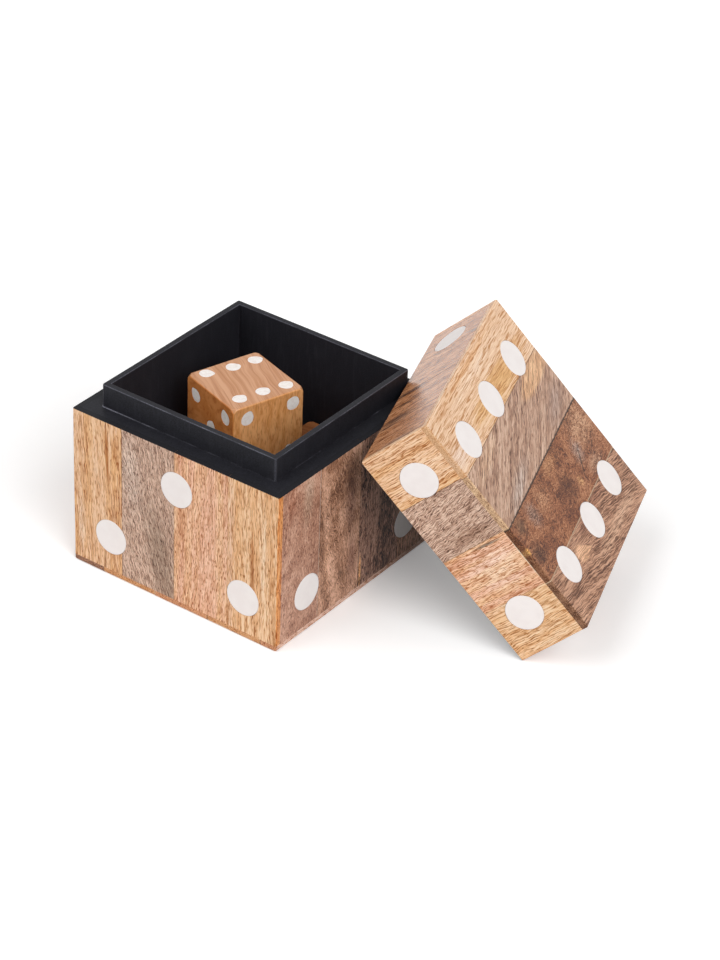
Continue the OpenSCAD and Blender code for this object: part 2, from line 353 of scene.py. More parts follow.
# How many times in a millimetre these noises change: the fibres' slow and quick straying, clouds, grit,
# the fillings of the joints and the ragged edge of the paint
WANDER_SCALE, RIPPLE_SCALE, MIST_SCALE = 0.035, 0.22, 0.07
GRIT_SCALE, CRUMB_SCALE, RAGGED_SCALE = 1.4, 0.5, 0.9
# A pore is about 0.15 mm wide, and is drawn wider, as the eye joins it with what lies beside it
PORE_WIDTH = 0.42


def fibre_number(add, across, deep, along, look):
    """Which fibre a point lies on, in mm across the strip: the fibres wander slowly, slant and bend, as
    the strip was cut from the log."""
    slowly = add("CombineXYZ", across, deep, add("Math", along, 0.3, look["seed"] * 17.0, **TIMES_PLUS))
    wander = add("TexNoise", slowly, WANDER_SCALE, 1.0)
    fibre = add("Math", wander, 4 * look["wander"], across, **TIMES_PLUS)
    ripple = add("TexNoise", add("CombineXYZ", across, deep, along), RIPPLE_SCALE, 1.0)
    fibre = add("Math", ripple, 3 * look["ripple"], fibre, **TIMES_PLUS)
    if look["slant"]:
        fibre = add("Math", along, look["slant"], fibre, **TIMES_PLUS)
    if look["bend"]:
        squared = add("Math", add("Math", along, 0.01, **TIMES), 2.0, operation="POWER")
        fibre = add("Math", squared, look["bend"], fibre, **TIMES_PLUS)
    return fibre


def along_fibres(add, fibre, deep, along, width, length, offset):
    """Coordinates in which a noise is width mm wide and length mm long, along the fibres."""
    return add("CombineXYZ", add("Math", fibre, 1 / width, **TIMES), add("Math", deep, 1 / width, **TIMES),
               add("Math", along, 1 / length, offset, **TIMES_PLUS))


def grain_layers(add, look, place, fibre, deep, along):
    """What the grain is drawn with, each from 0 to 1: slow bands, fine streaks, hairlines, pores, growth
    lines, wide streaks of another tint, and clouds and grit that don't follow the fibres."""
    # Each layer's width and length in mm, and the noise's detail and roughness
    layers = {
        "bands": (look["band"], 150.0, 2.0, 0.5), "fine": (1.8 * look["hair"], 4 * look["length"], 1.0, 0.5),
        "hair": (look["hair"], look["length"], 1.0, 0.6), "dashes": (PORE_WIDTH, look["pore"], 0.0, 0.5),
        "tint": (0.7 * look["band"], 90.0, 2.0, 0.5)}
    drawn = {}
    for number, (layer, (width, length, detail, roughness)) in enumerate(layers.items()):
        where = along_fibres(add, fibre, deep, along, width, length, look["seed"] * 7.3 + 29.0 * number)
        drawn[layer] = add("TexNoise", where, 1.0, detail, roughness)
    drawn["mist"] = add("TexNoise", place, MIST_SCALE, 3.0, 0.6, None, 0.4)
    drawn["grit"] = add("TexNoise", place, GRIT_SCALE, 3.0, 0.7)
    drawn["pore"] = add("MapRange", drawn["dashes"], 0.58, 0.68)
    # Growth lines lie where the fine noise crosses its middle
    crossing = add("Math", add("Math", drawn["fine"], 0.5, operation="SUBTRACT"), operation="ABSOLUTE")
    drawn["line"] = add("MapRange", crossing, 0.045, 0.0)
    return drawn


def grain_colour(add, look, drawn):
    """The strip's colour: its layers are added up round the middle of a ramp that goes from the pores'
    tone over the wood's to the light streaks'."""
    contrast = look["contrast"]
    weights = {"hair": 2.2 * contrast, "fine": 0.9 * contrast, "bands": 1.6 * contrast * look["slow"],
               "mist": 2.4 * contrast * look["cloud"], "grit": 1.5 * contrast * look["grit"],
               "pore": -look["pores"], "line": -look["lines"]}
    # The layers' means are taken off, so that the strip keeps its tone; a thin layer's mean is small
    means = {"pore": 0.18, "line": 0.25}
    value = 0.5 - sum(weight * means.get(layer, 0.5) for layer, weight in weights.items())
    for layer, weight in weights.items():
        if weight:
            value = add("Math", drawn[layer], weight, value, **TIMES_PLUS)
    wood = add("ValToRGB", value)
    stops = wood.node.color_ramp.elements
    stops.new(0.5)
    for stop, where, tone in zip(stops, (0.06, 0.5, 0.94), look["tones"]):
        stop.position, stop.color = where, linear(tone)
    return wood


def other_tones(add, wood, look, drawn, across, along):
    """The wood with its other tones: in wide streaks, and in patches whose edges follow the streaks."""
    usual_tone = look["tones"][1]
    if look["streaks"]:
        share = add("MapRange", drawn["tint"], 0.42, 0.62, 0.0, look["streaks"])
        wood = add("Mix", share, wood, ratio(look["streak"], usual_tone), **TINT)
    flat = add("CombineXYZ", across, along)
    rough = add("Math", drawn["fine"], 0.7, -0.35, **TIMES_PLUS)
    for spot in look["patches"]:
        local = add("Mapping", flat, spot["at"], (0, 0, spot["tilt"]), spot["size"], vector_type="TEXTURE")
        if spot["taper"]:
            near = add("SeparateXYZ", local).node.outputs
            width = add("Math", near["Y"], -spot["taper"], 1.0, **TIMES_PLUS)
            width = add("Math", width, 0.05, operation="MAXIMUM")
            local = add("CombineXYZ", add("Math", near["X"], width, operation="DIVIDE"), near["Y"])
        reach = add("Math", add("VectorMath", local, operation="LENGTH"), rough, **PLUS)
        share = add("MapRange", reach, 1.0, 1.0 - spot["soft"], 0.0, spot["share"])
        other = add("Mix", 1.0, wood, ratio(spot["tone"], usual_tone), **TINT)
        if spot["plain"]:
            other = add("Mix", spot["plain"], other, spot["tone"])
        wood = add("Mix", share, wood, other)
    return wood


def sawn_ends(add, wood, look, along):
    """The wood with the tone of its end grain, which drinks more varnish, on a lying strip's two ends."""
    from_middle = add("Math", along, operation="ABSOLUTE")
    share = add("MapRange", from_middle, BOX_W / 2 - 0.9, BOX_W / 2 - 0.5, 0.0, 0.85)
    return add("Mix", share, wood, ratio(look["ends"], look["tones"][1]), **TINT)


def filled_joints(add, wood, look, seams, across, along):
    """The wood with what fills the joints beside the strip, which comes and goes along them."""
    spaced = add("CombineXYZ", 0.0, add("Math", along, CRUMB_SCALE, **TIMES), look["seed"] + 3.0)
    crumbs = add("TexNoise", spaced, 1.0, 3.0, 0.7)
    for where, tone, least, most in seams:
        gap = add("Math", add("Math", across, where, operation="SUBTRACT"), operation="ABSOLUTE")
        width = add("MapRange", crumbs, 0.35, 0.65, least, most)
        outside = add("Math", gap, width, operation="DIVIDE", use_clamp=True)
        share = add("Math", add("Math", 1.0, outside, operation="SUBTRACT"), 0.4, operation="POWER")
        wood = add("Mix", share, wood, tone)
    return wood


def varnished_mango(name, side, look, seams, black_from):
    """Solid mango wood: strips from different logs, planed, glued edge to edge, sanded and varnished.
    The eye sees each strip's own tone, slow colour bands and finer streaks along the grain, thin dark
    growth lines, short dark pore dashes, and grain that slants or bends where the strip was cut across
    the log's rings. The satin varnish turns whitish at a shallow angle."""
    material, add = new_material(name)
    place = add("Attribute", attribute_name="wood_mm").node.outputs["Vector"]
    parts = add("SeparateXYZ", place).node.outputs
    axis, sign, deep_axis, along_axis = GRAIN_AXES[side]
    across = add("Math", parts[axis], sign, **TIMES)
    deep, along = parts[deep_axis], parts[along_axis]
    fibre = fibre_number(add, across, deep, along, look)
    drawn = grain_layers(add, look, place, fibre, deep, along)
    wood = grain_colour(add, look, drawn)
    wood = other_tones(add, wood, look, drawn, across, along)
    if side in ("top", "bottom"):
        wood = sawn_ends(add, wood, look, along)
    wood = filled_joints(add, wood, look, seams, across, along)

    varnish = GLOSSIER if side == "left" else VARNISH
    shader = add("BsdfPrincipled", named=varnish).node
    if black_from:
        # The saw cut is painted black, and the paint's edge is a little uneven
        low, high = black_from
        ragged = add("Math", add("TexNoise", place, RAGGED_SCALE, 3.0), 0.3, along, **TIMES_PLUS)
        black = add("MapRange", ragged, low, high)
        wood = add("Mix", black, wood, "#1e1e22")
        matt = add("MapRange", black, 0.0, 1.0, varnish["Roughness"], 0.6, **LINEAR)
        material.node_tree.links.new(matt, shader.inputs["Roughness"])
        dull = add("MapRange", black, 0.0, 1.0, varnish["Specular IOR Level"], 0.14, **LINEAR)
        material.node_tree.links.new(dull, shader.inputs["Specular IOR Level"])
    relief = add("Math", drawn["pore"], -1.0, drawn["hair"], **TIMES_PLUS)
    bump = add("Bump", named={"Strength": 0.5, "Distance": 0.00003, "Height": relief})
    material.node_tree.links.new(wood, shader.inputs["Base Color"])
    material.node_tree.links.new(bump, shader.inputs["Normal"])
    add("OutputMaterial", shader.outputs[0])
    return material


def black_painted_mdf():
    """Core board and liner strips, brushed with a matt black water paint. It dries with a fine speckle
    and faint brush lines. On the collar's edges, bead and corners, where it lies thinly, a little
    greyer colour is painted on as a painted highlight."""
    material, add = new_material("black_painted_mdf")
    place = add("TexCoord").node.outputs["Object"]
    speckle = add("TexNoise", place, 2200.0, 3.0, 0.7)
    brushed = add("VectorMath", place, (900.0, 900.0, 90.0), operation="MULTIPLY")
    brush = add("TexNoise", brushed, 1.0, 2.0)
    cloud = add("TexNoise", place, 60.0, 3.0, 0.6)
    thin_paint_and_highlight = add("Attribute", attribute_name="thin_paint_and_highlight").node.outputs["Fac"]
    paint = add("Mix", add("MapRange", speckle, 0.35, 0.7), "#121216", "#25252c")
    paint = add("Mix", add("MapRange", brush, 0.5, 0.75, 0.0, 0.4), paint, "#2c2c32")
    paint = add("Mix", add("MapRange", cloud, 0.45, 0.7, 0.0, 0.35), paint, "#27272c")
    # Paler grey where the paint lies thinly: a painted highlight on the collar's edges, bead and corners
    paint_thin_and_lit = add("Math", thin_paint_and_highlight, add("MapRange", speckle, 0.3, 0.6, 0.3, 1.0), **TIMES)
    paint = add("Mix", paint_thin_and_lit, paint, "#7c7c88")
    bump = add("Bump", named={"Strength": 0.5, "Distance": 0.00005, "Height": speckle})
    shader = add("BsdfPrincipled", named={"Base Color": paint, "Roughness": 0.58, "IOR": 1.5,
                 "Specular IOR Level": 0.2, "Normal": bump})
    add("OutputMaterial", shader)
    return material


def clouded_white(name, cloud_scale, detail, tones, bump_settings, finish):
    """White between two tones, in soft clouds, so many to a metre, that are also its faint relief."""
    material, add = new_material(name)
    cloud = add("TexNoise", add("TexCoord").node.outputs["Object"], cloud_scale, *detail)
    white = add("Mix", add("MapRange", cloud, 0.3, 0.7), *tones)
    bump = add("Bump", named={**bump_settings, "Height": cloud})
    add("OutputMaterial", add("BsdfPrincipled", named={**finish, "Base Color": white, "Normal": bump}))
    return material


# The strips' looks: pores, wood and light streaks of each kind of timber
GOLDEN = ("#a05c26", "#e8b689", "#f9d6b4")
YELLOW = ("#a5662e", "#edba8a", "#fbdab5")
PINK = ("#a8633a", "#e5ab87", "#fcd2b6")
PALE = ("#c0824c", "#ecc099", "#fcdbbc")
GREY = ("#5e3f31", "#bf9780", "#ecceb8")
LILAC = ("#614131", "#b88d74", "#e1c0a8")
ROSY = ("#7a4c39", "#ba866c", "#ddb199")
BROWN = ("#66402e", "#b58162", "#e6b599")
DARK = ("#2c170d", "#8c5f4c", "#c39883")
UMBER = ("#4f2a1a", "#8f5331", "#bc835d")
WALNUT = ("#5a331e", "#a57558", "#d1a183")
RUST = ("#6a3a1e", "#c98354", "#eaad81")

LOOKS = {
    "front_1": strip_look(GOLDEN, 1, slant=0.03, slow=0.32, contrast=0.84, pores=0.4, hair=0.34,
        streak="#e1a464", streaks=0.5, patches=[
        patch(-39.5, 66, 1.3, 24, "#b47037", 0.95, tilt=2, soft=0.6), patch(-35, 60, 4, 28, "#e2a464", 0.6),
        patch(-55, 22, 3, 22, "#f2d5b8", 0.4), patch(-46, 104, 22, 24, "#f1c297", 0.85, soft=0.6),
        patch(-41, 6, 1, 9, "#a46e43", 0.8), patch(-37.4, 108, 0.6, 9, "#bc794a", 0.7, tilt=2)]),
    "front_2": strip_look(GREY, 2, slant=0.3, bend=-6, wander=2, length=4.5, pore=1.8, pores=0.45,
        contrast=1.06, hair=0.3, band=3, grit=0.4, ripple=0.7, patches=[
        patch(-7, 20, 11, 44, "#997863", 0.9, tilt=14), patch(-25, 62, 8, 30, "#c7a794", 0.6, tilt=5),
        patch(-5, 104, 7, 16, "#9e755e", 0.8)]),
    "front_3": strip_look(PINK, 3, slant=-0.02, length=5, contrast=0.95, hair=0.34, pore=2.2, slow=0.4,
        streak="#e7b07d", streaks=0.5, patches=[
        patch(4, 45, 3, 50, "#d99975", 0.6), patch(22, 64, 1, 26, "#c3845d", 0.7, tilt=1),
        patch(27, 45, 4, 70, "#eab689", 0.7), patch(14, 104, 16, 20, "#efc2a6", 0.7),
        patch(2.2, 108, 1, 11, "#6c594a", 0.85, tilt=-2),
        patch(16.5, 119.1, 14.6, 0.6, "#f0d8bb", 0.9, soft=0.5, plain=0.8)]),
    "front_4": strip_look(YELLOW, 4, slant=0.03, slow=0.35, contrast=0.95, pores=0.45, hair=0.34,
        streak="#e4a56b", streaks=0.5, patches=[
        patch(46, 34, 1.5, 34, "#bc7840", 0.85, tilt=2, soft=0.6),
        patch(52, 50, 1.6, 36, "#f9d7b2", 0.6, tilt=-1),
        patch(46, 104, 22, 24, "#eec194", 0.85, soft=0.6), patch(33, 40, 3, 70, "#e9b792", 0.7),
        patch(60.2, 60, 0.8, 90, "#e49552", 0.9, soft=0.3)]),
    "right_1": strip_look(ROSY, 5, slant=-0.05, wander=3, contrast=0.78, hair=0.3, pores=0.4, length=3,
        pore=1.5, band=8, cloud=0.7, grit=0.6, ripple=1, patches=[
        patch(-38, 72, 6, 20, "#b7957c", 0.6, tilt=-4, soft=0.9),
        patch(-50, 76, 5, 12, "#ab6d52", 0.6, soft=0.9)]),
    "right_2": strip_look(BROWN, 6, slant=0.12, wander=3, length=3.5, pore=1.5, contrast=0.85, hair=0.3,
        pores=0.4, slow=1.1, cloud=0.8, grit=0.6, ripple=1.3, patches=[
        patch(-24, 54, 5, 20, "#c99677", 0.6, soft=0.95), patch(-3, 22, 6, 16, "#7f503d", 0.75, soft=0.95),
        patch(-23, 26, 4.5, 30, "#c8916e", 0.7, soft=0.95), patch(-5, 56, 7, 34, "#875b47", 0.75, soft=0.95),
        patch(-10, 14, 9, 8, "#a97858", 0.5, tilt=30, soft=0.9)]),
    "right_3": strip_look(DARK, 7, slant=-0.1, bend=6, wander=3, slow=0.7, length=4, pore=2,
        band=3, cloud=0.5, ripple=1, contrast=1.4, grit=0.6, patches=[
        patch(3.3, 9, 1.2, 14, "#d08c58", 0.85, soft=0.6)]),
    "right_4": strip_look(BROWN, 8, slant=0.05, wander=2.4, slow=0.9, cloud=0.3, length=4, grit=0.5),
    "left_1": strip_look(RUST, 9, slant=0.04, patches=[patch(-34, 117, 1.6, 9, "#8b7466", 0.8, tilt=-20)]),
    "left_2": strip_look(RUST, 10, slant=-0.08, cloud=0.2),
    "left_3": strip_look(RUST, 11, slant=0.05, slow=1, patches=[
        patch(2, 90, 2.6, 14, "#54352a", 0.9), patch(14, 92, 1.6, 9, "#5f3f30", 0.8, tilt=-8),
        patch(28, 92, 4, 14, "#5b3c2e", 0.8)]),
    "left_4": strip_look(RUST, 12, slant=-0.03, slow=1, patches=[
        patch(33, 90, 1.6, 12, "#54352a", 0.8), patch(56, 104, 3, 16, "#94705a", 0.7)]),
    "back_1": strip_look(BROWN, 13, slant=0.08, cloud=0.2, grit=0.4),
    "back_2": strip_look(YELLOW, 14, streak="#d89b62", streaks=0.6),
    "back_3": strip_look(GREY, 15, slant=-0.25, band=3.5, grit=0.4),
    "back_4": strip_look(PINK, 16, slant=0.03, length=4.5, streak="#e0a973", streaks=0.5),
    "top_1": strip_look(PALE, 17, slant=-0.02, contrast=0.88, length=12, pore=6, band=3, slow=0.4,
        pores=0.5, lines=0.5, ends="#cf9f72", patches=[
        patch(-38, 12, 9, 52, "#dfa867", 0.85, soft=0.6, plain=0.15), patch(-57, 0, 2, 60, "#e3a870", 0.6),
        patch(-38, -52, 8, 16, "#ecc9af", 0.7), patch(-52, 5, 2.6, 60, "#f6d4b6", 0.5)]),
    "top_2": strip_look(LILAC, 18, slant=0.44, wander=2, band=3, length=8, contrast=0.64, hair=0.3,
        slow=1, pores=0.35, ripple=0.5, ends="#c49a74", patches=[
        patch(-24.5, 42, 6.6, 26, "#deaa7f", 0.9, tilt=4, taper=-0.2, soft=0.4, plain=0.1),
        patch(-7, 42, 8, 26, "#a38171", 0.8, tilt=14, soft=0.95),
        patch(-25, -38, 5, 28, "#d2a686", 0.7, tilt=10),
        patch(-4, -30, 6, 30, "#bfa495", 0.75, tilt=12, soft=0.95)]),
    "top_3": strip_look(UMBER, 19, slant=0.1, wander=3, contrast=0.9, slow=0.6, band=9, cloud=0.7,
        length=2.5, pores=0.3, pore=1.2, ripple=2, lines=0.1, grit=1.2, ends="#6b3f26", patches=[
        patch(10, 46, 16, 22, "#ae7854", 0.85, soft=0.95),
        patch(16, 30, 9, 8, "#977a66", 0.45, tilt=-30, soft=0.95),
        patch(27, 38, 6, 13, "#b1805f", 0.75, soft=0.95), patch(29, -8, 6, 18, "#71391c", 0.7, soft=0.95),
        patch(24, 16, 4, 4, "#bb7f4e", 0.8, soft=0.9),
        patch(19, 4, 11, 13, "#623218", 0.95, tilt=-20, soft=0.95),
        patch(5, 4, 5, 20, "#a1673f", 0.7, soft=0.9), patch(9, -21, 9, 11, "#ac724c", 0.8, soft=0.95),
        patch(9, -36, 9, 8, "#a27d66", 0.7, soft=0.95), patch(6, -51, 7, 9, "#583620", 0.8, soft=0.95),
        patch(20, -53, 10, 9, "#5e3720", 0.8, soft=0.95),
        patch(20, 27, 0.8, 13, "#402413", 0.9, tilt=45, soft=0.8), patch(15, -59, 3, 1.6, "#dc944b", 0.95)]),
    "top_4": strip_look(WALNUT, 20, slant=-0.2, wander=2, band=3, length=8, slow=0.7, contrast=1.32,
        ripple=0.5, pores=0.35, hair=0.3, ends="#6f4931", patches=[
        patch(36, -6, 4, 12, "#7b4a32", 0.7), patch(55, -54, 6, 8, "#c19070", 0.7),
        patch(41.8, -21, 3.8, 9.2, "#dfab84", 0.95, tilt=-16, taper=0.9, soft=0.25, plain=0.5),
        patch(35, 12, 4, 34, "#935e43", 0.75), patch(52, 20, 5, 50, "#bb9071", 0.5)]),
    "bottom_1": strip_look(BROWN, 21, ends="#8a5a3e"),
    "bottom_2": strip_look(YELLOW, 22, ends="#cf8a52"),
    "bottom_3": strip_look(PINK, 23, ends="#c98455"),
    "bottom_4": strip_look(YELLOW, 24, ends="#d08e58"),
    "bottom_5": strip_look(PINK, 25, slant=0.1, ends="#c58257", patches=[
        patch(60.2, 0, 0.8, 90, "#daa88d", 0.9, soft=0.3)]),
}
EDGE_DARK = "#3a2c24"
GLUE_PALE = "#d9bfa0"
# What fills each joint: where across the face, its tone, and its least and greatest half width
SEAMS = {
    "front": [(-30.7, "#9b6f4c", 0.1, 0.25), (0.3, "#c7a27c", 0.05, 0.3), (31.3, "#c58a58", 0.05, 0.15)],
    "right": [(-29.2, "#c8b3a6", 0.12, 0.3), (1.8, "#8a6a50", 0.05, 0.25), (32.8, EDGE_DARK, 0.1, 0.2)],
    "back": [(-31, EDGE_DARK, 0.1, 0.3), (0, "#a98258", 0.1, 0.2), (31, EDGE_DARK, 0.1, 0.25)],
    "left": [(-31, "#9d745a", 0.1, 0.25), (0, EDGE_DARK, 0.2, 0.6), (31, EDGE_DARK, 0.2, 0.5)],
    "top": [(-30, "#8e6644", 0.1, 0.3), (1, EDGE_DARK, 0.25, 0.8), (32, GLUE_PALE, 0.2, 0.35)],
    "bottom": [(-42, EDGE_DARK, 0.1, 0.3), (-11, GLUE_PALE, 0.1, 0.3), (20, EDGE_DARK, 0.1, 0.3),
               (51, EDGE_DARK, 0.1, 0.2)],
}


# Building the boards

def strip_ends(side):
    """The left and right ends of each strip of a side, seen from outside; for top and bottom, along X."""
    half = (CORE_W if side in ("right", "left") else BOX_W) / 2
    every_seam = [boards * BOARD_W + SHIFTS[side] for boards in range(-2, 3)]
    seams = [seam for seam in every_seam if abs(seam) < half]
    lefts = [-half] + [seam + GLUE / 2 for seam in seams]
    rights = [seam - GLUE / 2 for seam in seams] + [half]
    return list(zip(lefts, rights))


def dot_place(side, spot):
    """Takes a disc that lies in the XY plane and faces +Z to a dot's place on a side, facing outwards."""
    across, up = spot
    if side == "top":
        return move(across, up, BOX_H)
    if side == "bottom":
        return move(across, up, 0) @ turn("X", 180)
    return turn("Z", SIDES[side]) @ move(across, -BOX_W / 2, up) @ turn("X", 90)


# A dot, and the recess that it lies in: how much wider than DOT_R, how high over the face, and how much
# the upper edge is eased. The dots end a hair below the faces.
DOT = {"grow": -0.02, "top": -0.01, "ease": 0.012}
RECESS = {"grow": 0.13, "top": 1.5, "ease": 0.0}


def dot_shape(side, number, grow, top, ease):
    """One dot, or the recess it lies in: sunk DOT_DEPTH into the face and reaching up to top over it,
    with its upper edge eased."""
    radii = uneven_radii(side_seed(side) * 10 + number, DOT_R + grow, 0.05, 96)
    low = 0.02 - DOT_DEPTH
    profile = [(0, low), (1, low), (1, top - 0.12), (1 - ease, top - 0.02), (0.97, top), (0.5, top), (0, top)]
    points, faces = disc_skin(radii, profile)
    return through(dot_place(side, DOTS[side][number]), points), faces


RECESSES = {side: [dot_shape(side, number, **RECESS) for number in range(len(DOTS[side]))] for side in DOTS}
# Where a strip's skin has points, from its ends: close together where its edges turn
STRIP_TICKS, STRIP_STEP, STRIP_EDGE = (0, 0.05, 0.15, 0.4, 0.65, 0.8, 1.2), 5.0, 0.1


def strip_mesh(side, number, low_z, high_z):
    """Strip number of a side, from low_z to high_z: a block whose own edges are barely broken, with the
    box's outer edges sanded round by hand, so their radius wanders, and the dots' recesses drilled in."""
    half = BOX_W / 2
    left, right = strip_ends(side)[number - 1]
    upright = side in SIDES
    low, high = (left, -half, low_z), (right, -CORE_W / 2 if upright else half, high_z)
    ticks = [places(start, end, STRIP_STEP, STRIP_TICKS) for start, end in zip(low, high)]
    points, faces = block_skin(*ticks)
    points = eased(points, low, high, STRIP_EDGE)
    if upright:
        points = through(turn("Z", SIDES[side]), points)
    sanded = EDGE_R * (1.2 + 0.3 * waves(points, side_seed(side) + number, 30.0))
    points = eased(points, (-half, -half, 0), (half, half, BOX_H), sanded)
    mesh = mesh_from(points, faces)
    drilled = [recess for recess in RECESSES[side]
               if np.all(recess[0].max(0) > points.min(0)) and np.all(recess[0].min(0) < points.max(0))]
    return cut(mesh, mesh_from(*joined(drilled))) if drilled else mesh


def board(side, number, low_z, high_z, in_lid, replaced):
    """Makes one strip, on the base or on the lid, with its own material."""
    name = f"{side}_strip_{number}"
    ends = strip_ends(side)[number - 1]
    seams = [seam for seam in SEAMS[side] if min(abs(seam[0] - end) for end in ends) < 0.5]
    # The sawn edge and a hair of the face beside it are black: above the cut's height on the base, and
    # below it on the lid
    black_from = None
    if side in SIDES:
        black_from = (BASE_H + 0.25, BASE_H + 0.2) if in_lid else (BASE_H, BASE_H + 0.06)
    material = varnished_mango(f"mango_{'lid_' if in_lid else ''}{side}_{number}", side,
                               LOOKS[f"{side}_{number}"], seams, black_from)
    finish_piece(f"lid_{name}" if in_lid else name, strip_mesh(side, number, low_z, high_z),
                 LEANING if in_lid else STANDING, "lid" if in_lid else "base",
                 material, [replaced])


for number in range(1, 5):
    for side in ("front", "right", "left"):
        board(side, number, BOARD_T, BASE_H, False, f"{side}_board_{number}")
        board(side, number, BASE_H, BOX_H - BOARD_T, True, f"lid_{side}_board_{number}")
    board("back", number, BOARD_T, BASE_H, False, "back_boards")
    board("back", number, BASE_H, BOX_H - BOARD_T, True, "lid_back_boards")
    board("top", number, BOX_H - BOARD_T, BOX_H, True, f"lid_top_board_{number}")
for number in range(1, 6):
    board("bottom", number, 0.0, BOARD_T, False, "bottom_boards")


# The white dots

dot_parts = {"base": [], "lid": []}
for side, spots in DOTS.items():
    for number, spot in enumerate(spots):
        body = "lid" if side == "top" or (side in SIDES and spot[1] > BASE_H) else "base"
        dot_parts[body].append(dot_shape(side, number, **DOT))
# Round inlays of white resin, glued into drilled recesses and sanded flush: an even, slightly warm white
# with hardly any texture
resin = clouded_white("white_resin", 120.0, (3.0, 0.6), ("#f6eeeb", "#faf3f0"),
                      {"Strength": 0.15, "Distance": 0.00003},
                      {"Roughness": 0.45, "IOR": 1.45, "Specular IOR Level": 0.25})
for body, place in (("base", STANDING), ("lid", LEANING)):
    finish_piece(f"{body}_white_dots", mesh_from(*joined(dot_parts[body])), place, body, resin,
                 [f"{body}_dots"])


# The collar and the core

def rounded_square(half, radius, per_side=40, per_corner=7):
    """The closed path round a square with round corners, anticlockwise."""
    corner = np.radians(np.linspace(0, 90, per_corner))
    straight = np.linspace(-1, 1, per_side + 2)[1:-1] * (half - radius)
    side = np.column_stack([np.full(per_side, half), straight])
    middle = half - radius
    bend = np.column_stack([middle + radius * np.cos(corner), middle + radius * np.sin(corner)])
    quarter = np.concatenate([side, bend])
    # Each quarter is the one before, turned by a right angle: (x, y) becomes (-y, x)
    quarters = [quarter]
    for _ in range(3):
        quarters.append(np.column_stack([-quarters[-1][:, 1], quarters[-1][:, 0]]))
    return np.concatenate(quarters)


# The radius of the collar's upper edges, and of its upright corners
COLLAR_EASE, COLLAR_CORNER = 0.5, 1.0


def collar_loop(out):
    """The collar's outline, drawn in by out: the corners' radius shrinks with it, down to 0.25."""
    return rounded_square(COLLAR_HALF - out, max(COLLAR_CORNER - out, 0.25))


def arc(middle, radius, start, end, count):
    """Points on a circle's arc round the middle, at even angles from start to end."""
    angle = np.radians(np.linspace(start, end, count))
    return list(zip(middle[0] + radius * np.cos(angle), middle[1] + radius * np.sin(angle)))


def collar_mesh():
    """The collar as one ring: its profile stands on the floor, with a slim bead at the ledge that comes
    and goes, and a top whose edges are eased. Its attribute says where the paint lies thinly and
    where a paler painted highlight goes."""
    foot, edge = BASE_H + 0.02, COLLAR_EASE
    bead = [(0.0, foot), (-0.35, foot), (-0.33, foot + 0.15), (-0.15, foot + 0.32), (0.0, foot + 0.45)]
    profile = [(0.0, FLOOR_Z), *bead, (0.0, 88.0), (0.0, 92.0)]
    profile += arc((edge, COLLAR_TOP - edge), edge, 180, 90, 6)
    profile += arc((COLLAR_T - edge, COLLAR_TOP - edge), edge, 90, 0, 6)
    profile += [(COLLAR_T, up) for up in (92.0, 86.0, 60.0, 30.0, FLOOR_Z)]
    points, faces = ring_skin(profile, collar_loop)
    round_count = len(points) // len(profile)
    out, up = np.repeat(np.array(profile), round_count, axis=0).T
    flat = points * [1, 1, 0]
    from_corner = (points[:, 0] + COLLAR_HALF) / (2 * COLLAR_HALF)
    # The bead is thickest at the left corner
    thickness = np.clip(1.3 - 2.4 * from_corner, 0.35, 1.2)
    thickness += 0.5 * waves(flat, 5, 14.0) + 0.3 * waves(flat, 9, 4.0)
    thickness = np.clip(thickness, 0.0, 1.3)
    on_bead = out < 0
    side = points[:, :2] / np.abs(points[:, :2]).max(1, keepdims=True)
    side = np.where(np.abs(side) > 0.999, np.sign(side), 0)
    points[:, :2] += side * (out * (1 - thickness) * on_bead)[:, None]
    # The top was sanded by hand, and is up to 0.24 mm lower in places
    points[:, 2] -= np.where(up > COLLAR_TOP - 1, 0.12 - 0.12 * waves(flat, 3, 45.0), 0)
    # Thin paint with a painted highlight: the bead, the two upper edges' lines, and the upright corners
    paint_thin_and_lit = np.where(on_bead, np.clip(0.7 * thickness - 0.15, 0, 0.7), 0)
    on_arc = (up > COLLAR_TOP - edge + 0.01) & (up < COLLAR_TOP - 0.03)
    paint_thin_and_lit = np.maximum(paint_thin_and_lit, np.where(on_arc, 0.35 + 0.3 * waves(flat, 11, 12.0), 0))
    from_side = np.abs(points[:, :2]).min(1) - (COLLAR_HALF - COLLAR_CORNER - 0.05)
    corner = np.clip(from_side / 0.4, 0, 1) * (out < 0.1) * (up > BASE_H)
    paint_thin_and_lit = np.maximum(paint_thin_and_lit, corner * 0.2)
    mesh = mesh_from(points, faces)
    mesh.attributes.new("thin_paint_and_highlight", "FLOAT", "POINT").data.foreach_set("value", paint_thin_and_lit.astype(np.float32))
    return mesh


black = black_painted_mdf()
finish_piece("collar_ring", collar_mesh(), STANDING, "base", black,
             [f"collar_{side}" for side in SIDES])
for name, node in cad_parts.items():
    if name.startswith(("base_floor", "base_wall", "lid_panel", "lid_wall")):
        node.data.materials.clear()
        node.data.materials.append(black)


# The dice

# How far the upper die's dots were drilled from their true places, on the faces that show
PIP_WANDER = {6: [(-0.6, 1.6), (-0.6, 1.4), (0.5, 1.1), (-2.5, 0.9), (-0.4, 1.5), (-0.7, 1.9)],
              5: [(1.0, 0.8), (0.7, -1.0), (0, 0), (0.1, -0.6), (0, 0)],
              4: [(0.9, 0), (0, 0), (1.1, 0.2), (0, 0)]}
UPPER = 5
# A die's drilled hole, and the paint in it: how much wider than the dot, and from which height over the
# face to which, at its rim and in its middle
HOLE = {"grow": 0.0, "low": -0.7, "edge": 0.6, "top": 0.6}
PAINT_DROP = {"grow": -0.03, "low": -0.68, "edge": -0.18, "top": -0.12}
